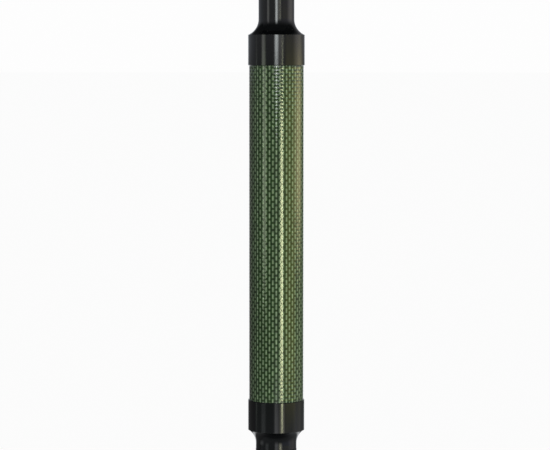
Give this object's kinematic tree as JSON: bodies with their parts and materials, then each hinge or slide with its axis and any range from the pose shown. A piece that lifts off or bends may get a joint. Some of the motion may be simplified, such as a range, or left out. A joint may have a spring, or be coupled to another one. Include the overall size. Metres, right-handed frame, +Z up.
{
  "type": "surveying prism pole",
  "caption": "Telescoping surveying prism pole with a woven tube, turned collars, twist locks, a bull's-eye level, a steel point and a threaded prism stud.",
  "frame": {"origin": "the tip of the steel point, on the pole's axis", "axes": "+Z up the pole towards the prism stud; +X towards the level vial at rest; +Y towards the clamp knob"},
  "size_m": [0.0775, 0.0359, 0.4692],
  "materials": {
    "black_metal": "glossy black anodised",
    "woven_composite": "clear coated woven ply, green and black",
    "steel": "turned",
    "rod_metal": "satin clear anodised",
    "pale_plastic": "smooth",
    "black_plastic": "fine texture",
    "rubber": "matte",
    "adhesive": "cured",
    "clear_glass": "polished",
    "vial_spirit": "clear liquid"
  },
  "bodies": {
    "pole": {"steel_point": "steel", "point_washer": "steel", "foot": "black_metal", "foot_o_ring": "rubber", "lower_fitting": "black_metal", "lower_bond_line": "adhesive", "woven_tube": "woven_composite", "upper_bond_line": "adhesive", "upper_fitting": "black_metal", "guide_bush": "pale_plastic", "lower_collet": "pale_plastic"},
    "lower_washer": {"lower_thrust_washer": "pale_plastic"},
    "lower_nut": {"lower_lock_nut": "black_metal"},
    "lower_slider": {"lower_glide": "pale_plastic"},
    "lower_rod": {"glide_clips": "steel", "lower_rod_tube": "rod_metal", "lower_rod_plug": "black_plastic", "lower_rod_buffer": "rubber", "lower_rod_head": "black_metal", "upper_collet": "pale_plastic"},
    "upper_washer": {"upper_thrust_washer": "pale_plastic"},
    "upper_nut": {"upper_lock_nut": "black_metal"},
    "upper_slider": {"upper_glide": "pale_plastic"},
    "upper_rod": {"upper_rod_tube": "rod_metal", "upper_rod_plug": "black_plastic", "top_adapter": "black_metal", "adapter_set_screw": "steel", "prism_stud": "steel"},
    "seat_washer": {"ring_washer": "black_plastic"},
    "lock_ring": {"prism_lock_ring": "rod_metal"},
    "bracket": {"level_bracket": "black_metal", "vial_housing": "black_metal", "vial_cushion": "rubber", "vial_screws": "steel", "vial_glass": "clear_glass", "vial_plug": "pale_plastic", "vial_fluid": "vial_spirit", "vial_bezel": "rod_metal"},
    "knob_seat": {"knob_washer": "steel"},
    "knob": {"clamp_knob": "black_plastic", "clamp_screw": "steel"}
  },
  "joints": [
    {"name": "lower_washer_rise", "type": "slide", "parent": "pole", "child": "lower_washer", "axis": [0, 0, 1], "range_m": [0, 0.001]},
    {"name": "lower_nut_turn", "type": "hinge", "parent": "lower_washer", "child": "lower_nut", "pos_m": [0, 0, 0.38], "axis": [0, 0, 1], "range_deg": [0, 350]},
    {"name": "lower_rod_slide", "type": "slide", "parent": "pole", "child": "lower_slider", "axis": [0, 0, 1], "range_m": [0, 0.142]},
    {"name": "lower_rod_spin", "type": "hinge", "parent": "lower_slider", "child": "lower_rod", "pos_m": [0, 0, 0.25], "axis": [0, 0, 1], "continuous": true},
    {"name": "upper_washer_rise", "type": "slide", "parent": "lower_rod", "child": "upper_washer", "axis": [0, 0, 1], "range_m": [0, 0.001]},
    {"name": "upper_nut_turn", "type": "hinge", "parent": "upper_washer", "child": "upper_nut", "pos_m": [0, 0, 0.405], "axis": [0, 0, 1], "range_deg": [0, 350]},
    {"name": "upper_rod_slide", "type": "slide", "parent": "lower_rod", "child": "upper_slider", "axis": [0, 0, 1], "range_m": [0, 0.23]},
    {"name": "upper_rod_spin", "type": "hinge", "parent": "upper_slider", "child": "upper_rod", "pos_m": [0, 0, 0.42], "axis": [0, 0, 1], "continuous": true},
    {"name": "seat_washer_rise", "type": "slide", "parent": "upper_rod", "child": "seat_washer", "axis": [0, 0, 1], "range_m": [0, 0.002]},
    {"name": "lock_ring_turn", "type": "hinge", "parent": "seat_washer", "child": "lock_ring", "pos_m": [0, 0, 0.446], "axis": [0, 0, 1], "range_deg": [0, 300]},
    {"name": "bracket_turn", "type": "hinge", "parent": "pole", "child": "bracket", "pos_m": [0, 0, 0.3605], "axis": [0, 0, 1], "continuous": true},
    {"name": "knob_washer_slide", "type": "slide", "parent": "bracket", "child": "knob_seat", "axis": [0, 1, 0], "range_m": [0, 0.00077]},
    {"name": "knob_turn", "type": "hinge", "parent": "knob_seat", "child": "knob", "pos_m": [-0.019, 0.01, 0.3605], "axis": [0, 1, 0], "range_deg": [0, 350]}
  ],
  "couplings": [
    {"joint": "lower_washer_rise", "follows": "lower_nut_turn", "m_per_rad": 0.00015915},
    {"joint": "upper_washer_rise", "follows": "upper_nut_turn", "m_per_rad": 0.00015915},
    {"joint": "seat_washer_rise", "follows": "lock_ring_turn", "m_per_rad": 0.0003675},
    {"joint": "knob_turn", "follows": "knob_washer_slide", "rad_per_m": 7854}
  ]
}
